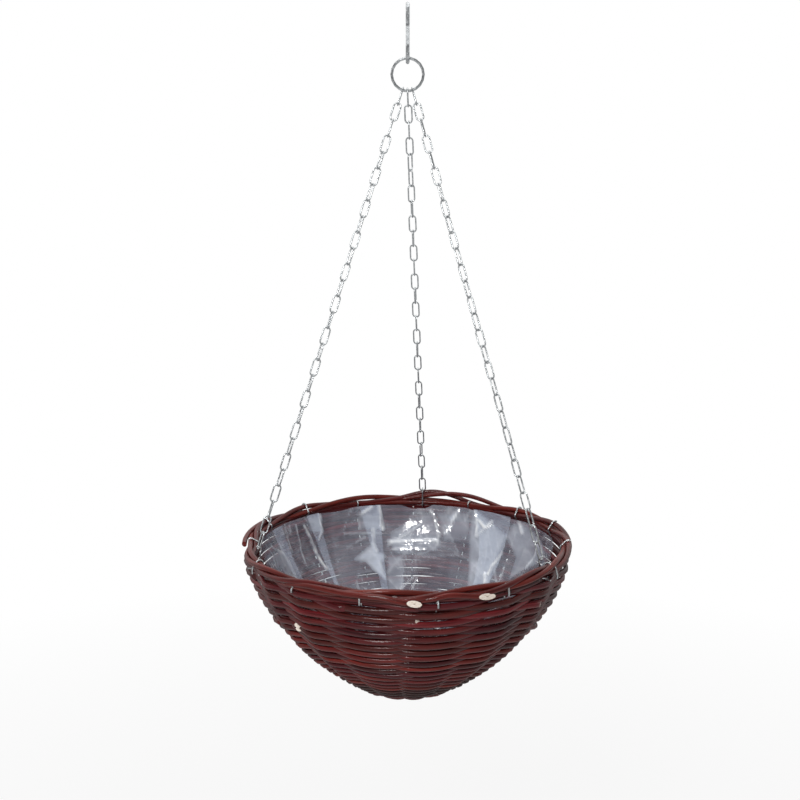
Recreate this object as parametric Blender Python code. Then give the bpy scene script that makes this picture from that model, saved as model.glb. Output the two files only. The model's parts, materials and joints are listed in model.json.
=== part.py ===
"""Hanging wicker planter: a woven willow bowl on a wire frame, hung on three chains.

The willow bowl is woven round fifteen galvanised wire ribs that start at a base ring and
arch over a border of three twisted rods. A clear film lines it. Three chains run from
wire clips at the border to a gathering ring, which hangs on an open hook.
Lengths are in metres, +Z is up, and the origin is where the hook hangs.
"""

import math

import bmesh
import bpy
from mathutils import Matrix, Vector

# Fits
touch_gap = 0.0003
fuse_bite = 0.00025
cut_overrun = 0.004

# Hook
hook_wire = 0.004
hook_bow_radius = 0.011
hook_eye_radius = 0.0065
hook_height = 0.050
hook_curl = math.radians(15)
hook_flare = math.radians(25)
hook_tip_length = 0.005
hook_eye_closing = math.radians(80)
hook_bow_steps = 12
hook_shank_steps = 5
hook_eye_steps = 14
hook_sides = 7

# Gathering ring
ring_wire = 0.003
ring_radius = 0.014
ring_steps = 18
ring_sides = 6

# Chains
chain_wire = 0.0016
link_length = 0.0162
link_width = 0.0053
links_per_chain = 29
lower_fold_links = 6
turn_over_links = 6
chain_spacing = 0.005
first_chain_angle = math.radians(83)
wire_sides = 5
bow_corner_share = math.tan(math.pi / 8)

# Border of twisted rods
border_radius = 0.1665
border_rod = 0.0055
border_rods = 3
border_swing = 0.0033
border_rise = 0.0045
border_turns = 5
border_steps_per_turn = 10

# Bowl
bowl_overhang = 0.0059
bowl_depth = 0.1652
bowl_radius_shares = (1.0, 0.944, 0.847, 0.702, 0.500, 0.300, 0.116)
bowl_depth_shares = (0.0, 0.2, 0.4, 0.6, 0.8, 0.95, 1.0)
outline_steps = 24
heading_points = 4
search_steps = 40
wall_thickness = 0.007
weave_relief = 0.0014
row_pitch = 0.0062
wall_bands = 5
base_length = 0.022
steps_per_space = 2

# Wire frame
rib_count = 15
rib_wire = 0.0018
rib_lead = math.radians(4)
rib_wall_points = 6
rib_arch_steps = 4
rib_arch_base_share = 0.25
rib_sides = 4
rib_tail = 0.006
base_ring_radius = 0.022
base_ring_wire = rib_wire
base_ring_steps = 18

# Clips that hold the chains to the border
clip_wire = 0.0018
clip_eye_radius = 0.0034
clip_rise = 0.0044
clip_lean = 0.0001
clip_tip = 0.0025
clip_tail = 0.0005
clip_bend = 0.003
clip_bend_steps = 4
clip_eye_start = math.radians(-20)
clip_eye_steps = 5

# Liner
liner_thickness = 0.0004
liner_drop = 0.0025

# Shading
sharp_angle = math.radians(50)

# Values that follow from the driving sizes
link_pitch_fused = link_length + fuse_bite
link_pitch_free = link_length - touch_gap
bowl_radius = border_radius + bowl_overhang
border_half_width = border_swing + border_rod / 2
border_half_height = border_rise + border_rod / 2
weave_steps = rib_count * steps_per_space
space_angle = math.tau / rib_count
under_border = border_half_height + touch_gap

# Heights of the hanging gear, down from the hanging point
ring_top_z = -hook_height + touch_gap + ring_wire / 2
ring_centre_radius = ring_radius + ring_wire / 2
ring_centre_z = ring_top_z - ring_centre_radius
ring_pivot_z = -hook_height - hook_wire / 2
hang_height = ring_wire / 2 + touch_gap
basket_pivot_z = ring_centre_z - ring_centre_radius


def remove_all():
    """Empty the scene."""
    for item in list(bpy.data.objects):
        bpy.data.objects.remove(item, do_unlink=True)


def material(name, colour, roughness, metallic, alpha=1.0):
    """Make one plain Principled material."""
    made = bpy.data.materials.new(name)
    made.use_nodes = True
    shader = made.node_tree.nodes["Principled BSDF"]
    shader.inputs["Base Color"].default_value = (*colour, 1.0)
    shader.inputs["Roughness"].default_value = roughness
    shader.inputs["Metallic"].default_value = metallic
    shader.inputs["Alpha"].default_value = alpha
    return made


def galvanised_wire():
    return material("galvanised_wire", (0.62, 0.64, 0.66), 0.38, 1.0)


def stained_willow():
    return material("stained_willow", (0.10, 0.022, 0.016), 0.45, 0.0)


def clear_film():
    return material("clear_film", (0.78, 0.82, 0.86), 0.12, 0.0, 0.4)


def show(name, data, finish):
    """Put a mesh or a curve in the scene as a named piece with its material."""
    piece = bpy.data.objects.new(name, data)
    bpy.context.scene.collection.objects.link(piece)
    if not data.materials:
        data.materials.append(finish)
    return piece


def round_profile(name, radius, sides):
    """Make the hidden cross-section that a wire or a rod is swept with."""
    curve = bpy.data.curves.new(name, "CURVE")
    curve.dimensions = "2D"
    spline = curve.splines.new("POLY")
    spline.points.add(sides - 1)
    for index, point in enumerate(spline.points):
        angle = -math.tau * index / sides
        point.co = (radius * math.cos(angle), radius * math.sin(angle), 0, 1)
    spline.use_cyclic_u = True
    guide = bpy.data.objects.new(name, curve)
    bpy.context.scene.collection.objects.link(guide)
    guide.hide_render = True
    guide.display_type = "WIRE"
    return guide


def sweep(name, points, profile, closed=False):
    """Make a curve through the points, swept with a round profile and capped."""
    curve = bpy.data.curves.new(name, "CURVE")
    curve.dimensions = "3D"
    curve.twist_mode = "MINIMUM"
    curve.bevel_mode = "OBJECT"
    curve.bevel_object = profile
    curve.use_fill_caps = not closed
    spline = curve.splines.new("POLY")
    spline.points.add(len(points) - 1)
    for point, place in zip(spline.points, points):
        point.co = (*place, 1)
        point.radius = 1
    spline.use_cyclic_u = closed
    spline.use_smooth = True
    return curve


def arc(centre, across, along, start, end, steps):
    """Give points on an arc; angles run from the first direction to the second."""
    points = []
    for index in range(steps + 1):
        angle = start + (end - start) * index / steps
        points.append(centre + across * math.cos(angle) + along * math.sin(angle))
    return points


def smooth_curve_point(points, position):
    """Read a Catmull-Rom curve through the points at a position counted in points."""
    last = len(points) - 1
    index = min(int(position), last - 1)
    share = position - index
    before = points[index - 1] if index else points[0] * 2 - points[1]
    after = points[index + 2] if index + 2 <= last else points[last] * 2 - points[last - 1]
    start, end = points[index], points[index + 1]
    bend = 2 * before - 5 * start + 4 * end - after
    swing = 3 * start - before - 3 * end + after
    return start + ((end - before) * share + bend * share**2 + swing * share**3) / 2


def bowl_outline():
    """Trace the bowl's outer half profile from the border's mid plane to the base."""
    pairs = zip(bowl_radius_shares, bowl_depth_shares)
    corners = [Vector((bowl_radius * wide, -bowl_depth * deep)) for wide, deep in pairs]
    count = (len(corners) - 1) * outline_steps
    return [smooth_curve_point(corners, index / outline_steps) for index in range(count + 1)]


outline = bowl_outline()
outline_reach = [0.0]
for start, end in zip(outline, outline[1:]):
    outline_reach.append(outline_reach[-1] + (end - start).length)


def wall_point(distance, depth_in):
    """Give radius and height at a distance down the outline, a depth inside its face."""
    last = len(outline) - 2
    index = 0
    while index < last and outline_reach[index + 1] < distance:
        index += 1
    start, end = outline[index], outline[index + 1]
    run = outline_reach[index + 1] - outline_reach[index]
    place = start.lerp(end, (distance - outline_reach[index]) / run)
    before = outline[max(index - heading_points, 0)]
    after = outline[min(index + 1 + heading_points, last + 1)]
    heading = (after - before).normalized()
    inward = Vector((heading.y, -heading.x))
    return place + inward * depth_in


def find_distance(depth_in, stays_above):
    """Find how far down the outline the inner line stays above a limit."""
    low, high = 0.0, outline_reach[-1]
    for _ in range(search_steps):
        middle = (low + high) / 2
        if stays_above(wall_point(middle, depth_in)):
            low = middle
        else:
            high = middle
    return low


def distance_at_height(height, depth_in):
    return find_distance(depth_in, lambda pair: pair.y > height)


def distance_at_radius(radius, depth_in):
    return find_distance(depth_in, lambda pair: pair.x > radius)


def turned(pair, angle, rim_z):
    """Turn a radius and height into a point of the part."""
    return Vector((pair.x * math.cos(angle), pair.x * math.sin(angle), rim_z + pair.y))


def link_path():
    """Trace one chain link in its own plane, its long way along Y."""
    side = (link_width + chain_wire) / 2
    end = (link_length + chain_wire) / 2
    inset = side * bow_corner_share
    quarter = [(side, end - side + inset), (inset, end)]
    upper = quarter + [(-x, y) for x, y in reversed(quarter)]
    lower = [(-x, -y) for x, y in upper]
    return [Vector((x, y, 0)) for x, y in upper + lower]


def link_shape(profile):
    """Bend one link from its wire and keep it as a mesh."""
    curve = sweep("link", link_path(), profile, closed=True)
    curve.dimensions = "2D"
    guide = bpy.data.objects.new("link", curve)
    bpy.context.scene.collection.objects.link(guide)
    bpy.context.view_layer.update()
    depsgraph = bpy.context.evaluated_depsgraph_get()
    mesh = bpy.data.meshes.new_from_object(guide.evaluated_get(depsgraph))
    bpy.data.objects.remove(guide, do_unlink=True)
    return mesh


def link_angles(groups, square):
    """Give each link's plane: a quarter turn from one link to the next.

    The first link lies square over the ring's wire. Below the top links the chain turns
    back, so that its last link lies square to its clip.
    """
    first = groups[0]
    end = math.pi if first > 1 else 0
    angles = []
    for index in range(links_per_chain):
        share = min(max((index - first) / turn_over_links, 0), 1)
        angles.append(index * math.pi / 2 + square + (end - square) * share)
    return angles


def link_groups(top_links):
    """Share a chain's links among its top links and the four stretches that fold."""
    upper = links_per_chain - top_links - 2 * lower_fold_links
    first = upper // 2
    return (top_links, first, upper - first, lower_fold_links, lower_fold_links)


def link_offsets(groups):
    """Give the distance of each link's middle below the chain's upper contact."""
    offsets = []
    below = link_length / 2
    for count in groups:
        for index in range(count):
            offsets.append(below)
            below += link_pitch_fused if index < count - 1 else link_pitch_free
    return offsets


def chain_reach(groups):
    """Give the distance from the middle of the ring's wire to a chain's lower contact."""
    return link_offsets(groups)[-1] + link_length / 2 - hang_height


side_groups = link_groups(1)
back_groups = link_groups(2)
chains = (
    ("back", 0, back_groups),
    ("left", -1, side_groups),
    ("right", 1, side_groups),
)


def chain_seat(place):
    """Give the middle of the ring's wire where a chain hangs on it."""
    across = place * chain_spacing
    return Vector((across, 0, ring_centre_z - math.sqrt(ring_centre_radius**2 - across**2)))


def rim_height():
    """Place the border's mid plane so that the back chain hangs taut."""
    spread = clip_contact_radius()
    drop = math.sqrt(chain_reach(back_groups) ** 2 - spread**2)
    return chain_seat(0).z - drop - border_half_height - clip_rise


def clip_leg_radius():
    """Give the radius of a clip's leg, which stands against the inside of the border."""
    return border_radius - border_half_width - touch_gap - clip_wire / 2


def clip_contact_radius():
    """Give the radius at which a chain's last link pulls on its clip."""
    return clip_leg_radius() + clip_wire / 2 + chain_wire / 2 - clip_lean


def square_turn(down, across):
    """Give the turn that sets a chain's first link square over the ring's wire."""
    facing = across.cross(-down)
    turn = math.atan2(facing.y, across.y)
    return (turn + math.pi / 2) % math.pi - math.pi / 2


def chain_line(number, place, groups):
    """Give a chain's upper contact, direction down, direction across, and lower contact."""
    angle = first_chain_angle + number * math.tau / len(chains)
    seat = chain_seat(place)
    spread = clip_contact_radius()
    flat = Vector((spread * math.cos(angle) - seat.x, spread * math.sin(angle) - seat.y, 0))
    reach = chain_reach(groups)
    drop = math.sqrt(reach**2 - flat.length_squared)
    down = (flat + Vector((0, 0, -drop))) / reach
    across = Vector((0, 0, 1)).cross(flat).normalized()
    return seat - down * hang_height, down, across, seat + down * reach


def link_row(name, link, angles, offsets, top, down, across):
    """Make one mesh of separate links along a chain's line."""
    facing = across.cross(-down)
    shape = bmesh.new()
    for angle, offset in zip(angles, offsets):
        side = across * math.cos(angle) + facing * math.sin(angle)
        frame = Matrix((side, -down, side.cross(-down))).transposed().to_4x4()
        copy = link.copy()
        copy.transform(Matrix.Translation(top + down * offset) @ frame)
        shape.from_mesh(copy)
        bpy.data.meshes.remove(copy)
    mesh = bpy.data.meshes.new(name)
    shape.to_mesh(mesh)
    shape.free()
    return mesh


def chain_stretch(name, link, finish, angles, offsets, line):
    """Make a run of links, each fused to the next where they bear on each other."""
    mesh = link_row(name, link, angles[0::2], offsets[0::2], *line)
    stretch = show(name, mesh, finish)
    if len(angles) > 1:
        partner_name = name + "_partner"
        partner_mesh = link_row(partner_name, link, angles[1::2], offsets[1::2], *line)
        partner = show(partner_name, partner_mesh, finish)
        partner.hide_render = True
        partner.display_type = "WIRE"
        union = stretch.modifiers.new("bearing", "BOOLEAN")
        union.operation = "UNION"
        union.solver = "EXACT"
        union.object = partner
    return stretch


def set_origin(piece, place):
    """Move a mesh piece's origin to a pivot without moving its shape."""
    piece.data.transform(Matrix.Translation(-place))
    piece.location = place


def make_chain(number, side, place, groups, link, finish):
    """Make one chain: its top links, then the stretches that fold at their pivots."""
    top, down, across, _ = chain_line(number, place, groups)
    line = (top, down, across)
    angles = link_angles(groups, square_turn(down, across))
    offsets = link_offsets(groups)
    first = 0
    for index, count in enumerate(groups):
        name = f"chain_{side}_stretch_{index}" if index else f"chain_{side}_top_link"
        span = slice(first, first + count)
        piece = chain_stretch(name, link, finish, angles[span], offsets[span], line)
        if index:
            above = offsets[first - 1] + (link_length + chain_wire) / 2
            pivot = top + down * above
            set_origin(piece, pivot)
            set_origin(bpy.data.objects[name + "_partner"], pivot)
            axis = fold_axis(angles[first - 1], down, across)
            report_joint(f"chain_{side}_{index}", pivot, axis)
        first += count


def fold_axis(angle, down, across):
    """Give the line of the wire that a stretch folds round, so that it folds outward."""
    axis = across * math.cos(angle) + across.cross(-down) * math.sin(angle)
    outward = Vector((down.x, down.y, 0))
    return axis if axis.cross(down).dot(outward) > 0 else -axis


def report_joint(name, place, axis):
    """Print a joint's place and axis."""
    where = ", ".join(f"{value:.6f}" for value in place)
    line = ", ".join(f"{value:.6f}" for value in axis)
    print(f"joint {name} at ({where}) along ({line})")


def make_hook(finish):
    """Bend the hook in the YZ plane: an open bow, a slanting shank and a closed eye."""
    bow = hook_bow_radius + hook_wire / 2
    eye = hook_eye_radius + hook_wire / 2
    side = Vector((0, 1, 0))
    up = Vector((0, 0, 1))
    bow_centre = up * -hook_bow_radius
    eye_centre = up * (hook_eye_radius - hook_height)
    bow_arc = arc(bow_centre, side * bow, up * bow, math.pi + hook_curl, 0, hook_bow_steps)
    eye_end = math.tau + hook_eye_closing
    eye_arc = arc(eye_centre, side * eye, up * eye, math.pi, eye_end, hook_eye_steps)
    flare = side * -math.sin(hook_flare) - up * math.cos(hook_flare)
    shank = []
    for index in range(1, hook_shank_steps):
        share = index / hook_shank_steps
        swing = share**2 * (3 - 2 * share)
        across = bow - (bow + eye) * swing
        height = bow_centre.z + (eye_centre.z - bow_centre.z) * share
        shank.append(side * across + up * height)
    points = [bow_arc[0] + flare * hook_tip_length] + bow_arc + shank + eye_arc
    profile = round_profile("hook_profile", hook_wire / 2, hook_sides)
    return show("hanging_hook", sweep("hanging_hook", points, profile), finish)


def make_ring(finish):
    """Make the gathering ring, which hangs square to the hook."""
    side = Vector((ring_centre_radius, 0, 0))
    up = Vector((0, 0, ring_centre_radius))
    points = arc(Vector((0, 0, ring_centre_z)), side, up, 0, math.tau, ring_steps)[:-1]
    profile = round_profile("ring_profile", ring_wire / 2, ring_sides)
    return show("gathering_ring", sweep("gathering_ring", points, profile, True), finish)


def make_clip(number, side, place, groups, rim_z, profile, finish):
    """Bend a clip: a foot under the border, a leg inside it and an open hook above."""
    _, down, across, contact = chain_line(number, place, groups)
    flat = Vector((down.x, down.y, 0)).normalized()
    up = Vector((0, 0, 1))
    pull = -down
    slide = pull.cross(across)
    if slide.dot(flat) < 0:
        slide = -slide
    seat = contact + pull * (touch_gap + clip_wire / 2)
    eye = seat - pull * clip_eye_radius
    centre = contact - flat * clip_contact_radius()
    centre.z = rim_z
    foot_z = -under_border - clip_wire / 2
    leg = clip_leg_radius()
    outer = border_radius + border_half_width - clip_tail
    bend = centre + flat * (leg + clip_bend) + up * (foot_z + clip_bend)
    points = [centre + flat * outer + up * foot_z]
    points += arc(bend, up * -clip_bend, flat * -clip_bend, 0, math.pi / 2, clip_bend_steps)
    points.append(centre + flat * leg + up * (border_half_height / 2))
    back, top = slide * -clip_eye_radius, pull * clip_eye_radius
    points += arc(eye, back, top, clip_eye_start, math.pi / 2, clip_eye_steps)
    points.append(seat + slide * clip_tip)
    return show(f"rim_clip_{side}", sweep(f"rim_clip_{side}", points, profile), finish)


def make_border_rod(index, rim_z, profile, finish):
    """Lay one of the twisted border rods once round the rim."""
    phase = math.tau * index / border_rods
    steps = border_turns * border_steps_per_turn
    points = []
    for step in range(steps):
        angle = math.tau * step / steps
        twist = border_turns * angle + phase
        radius = border_radius + border_swing * math.cos(twist)
        height = rim_z + border_rise * math.sin(twist)
        points.append(Vector((radius * math.cos(angle), radius * math.sin(angle), height)))
    name = f"border_rod_{index + 1}"
    return show(name, sweep(name, points, profile, closed=True), finish)


def rib_angle(index):
    return first_chain_angle + rib_lead + index * space_angle


def weave_angle(step):
    """Give the angle of a weave step, counted from the first rib."""
    return rib_angle(0) + step * space_angle / steps_per_space


def weave_swing(row, step):
    """Give how far the rows swing out over a rib, or in behind it."""
    return weave_relief * math.cos(math.pi * step / steps_per_space) * (-1) ** row


def band_rows(shape, start, end, rows, middle_depth, rim_z):
    """Lay the spiral rows of one face of a band, one turn of the spiral to a row."""
    pitch = (end - start) / (rows + 1)
    spiral = []
    for place in range(rows * weave_steps + 1):
        row, step = divmod(place, weave_steps)
        distance = start + pitch * (0.5 + place / weave_steps)
        pair = wall_point(distance, middle_depth - weave_swing(row, step))
        spiral.append(shape.verts.new(turned(pair, weave_angle(step), rim_z)))
    return spiral


def flat_ring(shape, distance, depth_in, rim_z):
    """Lay one level ring of a band."""
    pair = wall_point(distance, depth_in)
    return [shape.verts.new(turned(pair, weave_angle(step), rim_z)) for step in range(weave_steps)]


def bridge(shape, upper, lower):
    """Join two closed rings of equal count with faces."""
    count = len(upper)
    for index in range(count):
        after = (index + 1) % count
        shape.faces.new((upper[index], upper[after], lower[after], lower[index]))


def spiral_faces(shape, top, spiral, bottom):
    """Skin the spiral rows and join their two ends to the level edges of the band."""
    last = len(spiral) - 1
    for place in range(last - weave_steps):
        below = place + weave_steps
        shape.faces.new((spiral[place], spiral[place + 1], spiral[below + 1], spiral[below]))
    for step in range(weave_steps - 1):
        shape.faces.new((top[step], top[step + 1], spiral[step + 1], spiral[step]))
        low = last - weave_steps + step
        shape.faces.new((spiral[low], spiral[low + 1], bottom[step + 1], bottom[step]))
    final = weave_steps - 1
    shape.faces.new((top[final], top[0], spiral[0], spiral[weave_steps], spiral[final]))
    shape.faces.new((spiral[last - 1], spiral[last], bottom[0], bottom[final]))
    shape.faces.new((spiral[last - weave_steps], bottom[0], spiral[last]))


def finish_mesh(shape, name, finish):
    """Close off a mesh with its faces out and put it in the scene."""
    bmesh.ops.recalc_face_normals(shape, faces=shape.faces)
    bmesh.ops.triangulate(shape, faces=[face for face in shape.faces if len(face.verts) > 4])
    mesh = bpy.data.meshes.new(name)
    shape.to_mesh(mesh)
    shape.free()
    return show(name, mesh, finish)


def make_band(name, start, end, rows, rim_z, finish, closed=False):
    """Weave one band: its rows swing out and in on both faces; the base is closed below."""
    shape = bmesh.new()
    edges = []
    for middle_depth in (weave_relief, wall_thickness - weave_relief):
        top = flat_ring(shape, start, middle_depth, rim_z)
        spiral = band_rows(shape, start, end, rows, middle_depth, rim_z)
        bottom = flat_ring(shape, end, middle_depth, rim_z)
        spiral_faces(shape, top, spiral, bottom)
        edges.append((top, bottom))
    (outer_top, outer_bottom), (inner_top, inner_bottom) = edges
    bridge(shape, outer_top, inner_top)
    if closed:
        shape.faces.new(outer_bottom)
        shape.faces.new(inner_bottom)
    else:
        bridge(shape, inner_bottom, outer_bottom)
    return finish_mesh(shape, name, finish)


def cut_clip_slots(band, rim_z):
    """Cut the slots in the top row through which the clips' feet pass."""
    width = clip_wire + 2 * touch_gap
    floor = -under_border - clip_wire - touch_gap
    height = clip_wire + touch_gap + cut_overrun
    length = wall_thickness + 2 * cut_overrun
    for number, (side, place, groups) in enumerate(chains):
        _, down, _, contact = chain_line(number, place, groups)
        flat = Vector((down.x, down.y, 0)).normalized()
        middle = contact + flat * (bowl_radius - wall_thickness / 2 - clip_contact_radius())
        middle.z = rim_z + floor + height / 2
        shape = bmesh.new()
        bmesh.ops.create_cube(shape, size=1)
        bmesh.ops.scale(shape, vec=(length, width, height), verts=shape.verts)
        mesh = bpy.data.meshes.new(f"clip_slot_{side}")
        shape.to_mesh(mesh)
        shape.free()
        cutter = bpy.data.objects.new(f"clip_slot_{side}", mesh)
        bpy.context.scene.collection.objects.link(cutter)
        cutter.location = middle
        cutter.rotation_euler.z = math.atan2(flat.y, flat.x)
        cutter.hide_render = True
        cutter.display_type = "WIRE"
        cut = band.modifiers.new(f"clip_slot_{side}", "BOOLEAN")
        cut.operation = "DIFFERENCE"
        cut.solver = "EXACT"
        cut.object = cutter


def make_wall(rim_z, finish):
    """Weave the wall's bands from the border down, then the base."""
    start = distance_at_height(-under_border, wall_thickness)
    reach = outline_reach[-1]
    base_start = reach - base_length
    band_length = (base_start - start) / wall_bands
    rows = round(band_length / row_pitch) - 1
    names = ("wale_band", "upper_siding", "middle_siding", "lower_siding", "foot_siding")
    for index, name in enumerate(names):
        high = start + index * band_length
        band = make_band(name, high, high + band_length - touch_gap, rows, rim_z, finish)
        if index == 0:
            cut_clip_slots(band, rim_z)
    base_rows = round(base_length / row_pitch) - 1
    make_band("woven_base", base_start, reach, base_rows, rim_z, finish, closed=True)


def lining_distances():
    """Give the levels that the ribs and the liner share, from the base ring up."""
    inside = wall_thickness + touch_gap + rib_wire / 2
    top = distance_at_height(-under_border - clip_wire - liner_drop, inside)
    low = distance_at_radius(base_ring_radius + base_ring_wire / 2 + touch_gap, inside)
    last = rib_wall_points - 1
    return [low + (top - low) * index / last for index in range(rib_wall_points)]


def rib_path(rim_z):
    """Trace a rib from the base ring up inside the wall and over the border."""
    inside = wall_thickness + touch_gap + rib_wire / 2
    pairs = [wall_point(distance, inside) for distance in lining_distances()]
    inner = border_radius - border_half_width - touch_gap - rib_wire / 2
    arch_width = border_half_width + touch_gap + rib_wire / 2
    arch_base = border_half_height * rib_arch_base_share
    arch_height = border_half_height + touch_gap + rib_wire / 2 - arch_base
    pairs.append(Vector((inner, -border_half_height)))
    for index in range(rib_arch_steps + 1):
        angle = math.pi * (1 - index / rib_arch_steps)
        across = arch_width * math.cos(angle)
        pairs.append(Vector((border_radius + across, arch_base + arch_height * math.sin(angle))))
    outer = border_radius + arch_width
    pairs.append(Vector((outer, -border_half_height)))
    pairs.append(Vector((outer - rib_wire / 2, -border_half_height - rib_tail)))
    return [Vector((pair.x, 0, rim_z + pair.y)) for pair in pairs]


def make_ribs(rim_z, profile, finish):
    """Set the ribs round the bowl; they share one shape."""
    curve = sweep("frame_rib", rib_path(rim_z), profile)
    for index in range(rib_count):
        rib = show(f"frame_rib_{index + 1:02d}", curve, finish)
        rib.rotation_euler.z = rib_angle(index)


def make_base_ring(rim_z, finish):
    """Make the ring that the ribs start from, lying on the base."""
    inside = wall_thickness + touch_gap + base_ring_wire / 2
    height = rim_z + wall_point(distance_at_radius(base_ring_radius, inside), inside).y
    side = Vector((base_ring_radius, 0, 0))
    ahead = Vector((0, base_ring_radius, 0))
    centre = Vector((0, 0, height))
    points = arc(centre, side, ahead, 0, math.tau, base_ring_steps)[:-1]
    profile = round_profile("base_ring_profile", base_ring_wire / 2, wire_sides)
    return show("base_ring", sweep("base_ring", points, profile, True), finish)


def make_liner(rim_z, finish):
    """Line the bowl with a film that lies inside the ribs."""
    outside = wall_thickness + rib_wire + 2 * touch_gap
    inside = outside + liner_thickness
    levels = lining_distances()[::-1] + [outline_reach[-1]]
    shape = bmesh.new()
    outer_rings = [flat_ring(shape, distance, outside, rim_z) for distance in levels]
    inner_rings = [flat_ring(shape, distance, inside, rim_z) for distance in levels]
    for upper, lower in zip(outer_rings, outer_rings[1:]):
        bridge(shape, upper, lower)
    for upper, lower in zip(inner_rings, inner_rings[1:]):
        bridge(shape, lower, upper)
    bridge(shape, inner_rings[0], outer_rings[0])
    shape.faces.new(outer_rings[-1])
    shape.faces.new(inner_rings[-1])
    return finish_mesh(shape, "clear_liner", finish)


def shade_round():
    """Shade the round pieces smooth."""
    for item in bpy.data.objects:
        if item.type == "MESH":
            item.data.shade_smooth()
            item.data.set_sharp_from_angle(angle=sharp_angle)


def build():
    remove_all()
    wire = galvanised_wire()
    willow = stained_willow()
    rim_z = rim_height()
    chain_profile = round_profile("chain_profile", chain_wire / 2, wire_sides)
    clip_profile = round_profile("clip_profile", clip_wire / 2, wire_sides)
    rib_profile = round_profile("rib_profile", rib_wire / 2, rib_sides)
    rod_profile = round_profile("rod_profile", border_rod / 2, wire_sides)
    make_hook(wire)
    make_ring(wire)
    report_joint("ring", Vector((0, 0, ring_pivot_z)), Vector((0, 1, 0)))
    report_joint("basket", Vector((0, 0, basket_pivot_z)), Vector((1, 0, 0)))
    link = link_shape(chain_profile)
    for number, (side, place, groups) in enumerate(chains):
        make_chain(number, side, place, groups, link, wire)
        make_clip(number, side, place, groups, rim_z, clip_profile, wire)
    for index in range(border_rods):
        make_border_rod(index, rim_z, rod_profile, willow)
    make_wall(rim_z, willow)
    make_ribs(rim_z, rib_profile, wire)
    make_base_ring(rim_z, wire)
    make_liner(rim_z, clear_film())
    shade_round()
    print(f"border mid plane at {rim_z:.6f}")


build()
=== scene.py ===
import json
import math
import random

import bmesh
import bpy
import numpy as np
from mathutils import Matrix, Vector


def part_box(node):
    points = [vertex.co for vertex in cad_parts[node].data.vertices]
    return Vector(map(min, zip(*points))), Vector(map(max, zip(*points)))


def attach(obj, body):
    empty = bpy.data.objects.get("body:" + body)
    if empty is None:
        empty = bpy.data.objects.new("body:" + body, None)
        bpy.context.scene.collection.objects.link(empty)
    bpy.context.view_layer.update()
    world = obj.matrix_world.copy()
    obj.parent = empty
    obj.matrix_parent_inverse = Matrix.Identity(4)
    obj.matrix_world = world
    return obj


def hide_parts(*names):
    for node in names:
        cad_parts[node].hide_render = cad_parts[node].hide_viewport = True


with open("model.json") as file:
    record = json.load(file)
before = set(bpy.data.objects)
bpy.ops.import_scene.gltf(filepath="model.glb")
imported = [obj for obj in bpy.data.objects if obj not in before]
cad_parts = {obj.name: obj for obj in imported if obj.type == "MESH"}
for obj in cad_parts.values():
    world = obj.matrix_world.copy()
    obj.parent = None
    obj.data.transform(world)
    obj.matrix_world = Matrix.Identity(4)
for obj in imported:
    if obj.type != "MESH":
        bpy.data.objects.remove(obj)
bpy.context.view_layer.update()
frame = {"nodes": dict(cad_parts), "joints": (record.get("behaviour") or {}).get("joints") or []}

# Looks of the hanging wicker planter. Lengths are in metres in the frame of the CAD model.

# Camera, fitted to the rim's ellipse and the chains of the photograph
camera_side = -0.0074
camera_away = -1.103
camera_above_rim = 0.346
camera_pitch = math.radians(10.12)
camera_lens = 49.05

# Bowl and ribs, as in the CAD model
bowl_radius = 0.1724
bowl_depth = 0.1652
bowl_radius_shares = (1.0, 0.944, 0.847, 0.702, 0.5, 0.3, 0.116)
bowl_depth_shares = (0.0, 0.2, 0.4, 0.6, 0.8, 0.95, 1.0)
outline_steps = 24
heading_points = 4
halvings = 40
rib_count = 15
rib_wire = 0.0018
rib_first = math.radians(87)
rib_space = math.tau / rib_count
touch_gap = 0.0003

# Border of three rods, its levels as (degrees, metres) round the rim
border_radius = 0.1665
border_rod = 0.0053
border_swing = 0.0034
border_rise = 0.0032
border_turns = 5
border_sag = 0.4
border_steps = 360
border_levels = (
    (0, 0.0003), (15, 0.0), (35, -0.0008), (50, -0.0018), (62, -0.001), (90, -0.001),
    (120, -0.0011), (160, -0.0013), (190, -0.0015), (212, -0.0018), (227, -0.0015),
    (237, -0.0003), (250, -0.0008), (268, -0.0008), (277, -0.0008), (291, -0.0004),
    (305, 0.0002), (318, 0.0015), (330, 0.0015), (350, 0.0005), (360, 0.0003),
)
# How far the twist lags behind an even one, as (degrees, degrees)
border_lags = (
    (0, 0.5), (50, -4), (73, -5), (95, -6), (127, 0), (147, -2), (180, 3), (208, 8),
    (229, 6.5), (252, 6), (276.6, 6.6), (301.6, 7.6), (330, 4), (360, 0.5),
)
# Rods that stand up from the border at the back: strand, middle and half width in degrees, rise
border_lifts = ((0, 77, 18, 0.0066), (1, 75, 30, 0.0082), (2, 75, 25, 0.002))
# Where they lie in from the loose rod on the left: middle and half width in degrees
border_dent = (183, 18)
border_dent_depth = 0.0045
# Slow waves in height: rise, waves round the rim, shift from strand to strand
border_waves = ((0.0004, 2, 1.9), (0.0003, 7, 4))
border_wander = 0.0003
# How much a border rod swells, as shares of its thickness
border_swell = 0.04
border_knots = 0.02
border_sides = 14

# Woven rods
rod_width = 0.005
row_pitch = 0.00495
row_shift = 0.0001
rib_depth = 0.0046
over_under = 0.0022
# Share of the extra swing near the outline that moves a rod in
side_inward = 0.5
# How much wider the rods swing near the left and right outline, as (degrees, metres)
side_swings = (
    (0, 0.0008), (12, 0), (168, 0), (182, 0.0014), (192, 0.0028), (215, 0.003), (232, 0.0016),
    (246, 0), (294, 0), (308, 0.0016), (325, 0.003), (348, 0.0028), (360, 0.0008),
)
widest_side_swing = max(wider for _, wider in side_swings)
# How square the swings are, and how much sharper near the outline
wave_square = 1.0
wave_sharp = 2.0
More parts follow.
